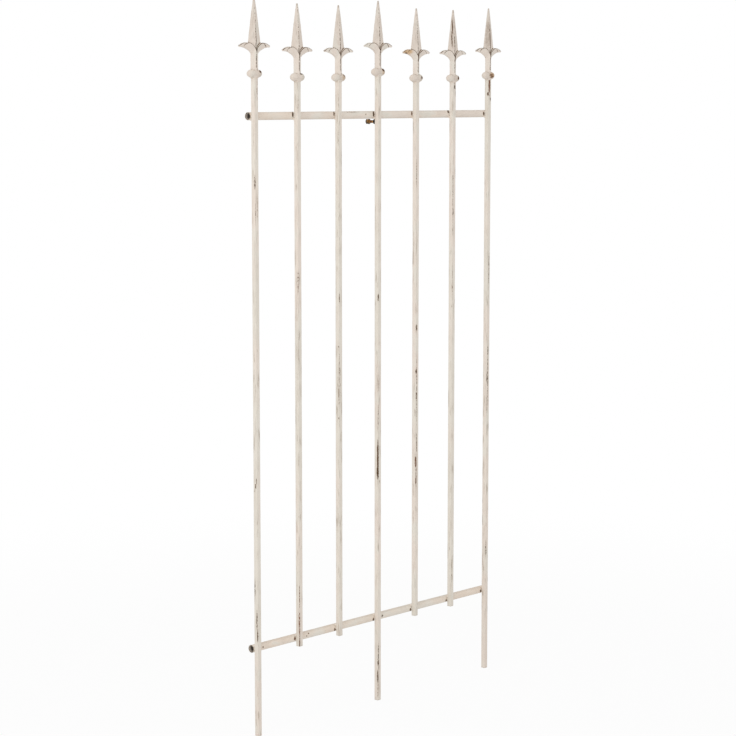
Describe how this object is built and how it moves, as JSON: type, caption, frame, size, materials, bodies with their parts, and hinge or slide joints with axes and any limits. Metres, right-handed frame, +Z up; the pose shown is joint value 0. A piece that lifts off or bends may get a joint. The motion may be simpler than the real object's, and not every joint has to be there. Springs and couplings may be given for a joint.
{
  "type": "garden trellis",
  "caption": "Upright iron garden trellis: spear-topped square bars welded to tube rails, with legs that push into the ground and a small clamp bolt behind the middle bar.",
  "frame": {"origin": "centre of the middle leg's ground end", "axes": "+Z up along the bars, +X along the rails to the right seen from the front, +Y to the back, where the rails and the clamp bolt are"},
  "size_m": [0.821, 0.0399, 1.505],
  "materials": {
    "cream_paint": "distressed antique cream paint, worn to dark metal and rust at the edges",
    "cream_casting": "sand-cast surface under antique cream paint, dark in the creases and on worn ridges",
    "rusted_steel": "bare steel, browned with rust"
  },
  "bodies": {
    "frame": {"left_leg_bar": "cream_paint", "left_outer_picket_bar": "cream_paint", "left_inner_picket_bar": "cream_paint", "middle_leg_bar": "cream_paint", "right_inner_picket_bar": "cream_paint", "right_outer_picket_bar": "cream_paint", "right_leg_bar": "cream_paint", "upper_rail": "cream_paint", "lower_rail": "cream_paint", "upper_rail_welds": "cream_paint", "lower_rail_welds": "cream_paint", "finial_welds": "cream_paint", "left_leg_finial": "cream_casting", "left_outer_picket_finial": "cream_casting", "left_inner_picket_finial": "cream_casting", "middle_leg_finial": "cream_casting", "right_inner_picket_finial": "cream_casting", "right_outer_picket_finial": "cream_casting", "right_leg_finial": "cream_casting", "stay_bolt": "rusted_steel", "jam_nut": "rusted_steel"},
    "clamp_washer": {"clamp_washer": "rusted_steel"},
    "clamp_nut": {"clamp_nut": "rusted_steel"}
  },
  "joints": [
    {"name": "clamp_washer_slide", "type": "slide", "parent": "frame", "child": "clamp_washer", "axis": [0, -1, 0], "range_m": [0, 0.014]},
    {"name": "clamp_nut_turn", "type": "hinge", "parent": "clamp_washer", "child": "clamp_nut", "pos_m": [0, 0.0285, 1.2533], "axis": [0, -1, 0], "range_deg": [0, 5040]}
  ],
  "couplings": [
    {"joint": "clamp_nut_turn", "follows": "clamp_washer_slide", "rad_per_m": 6283}
  ]
}
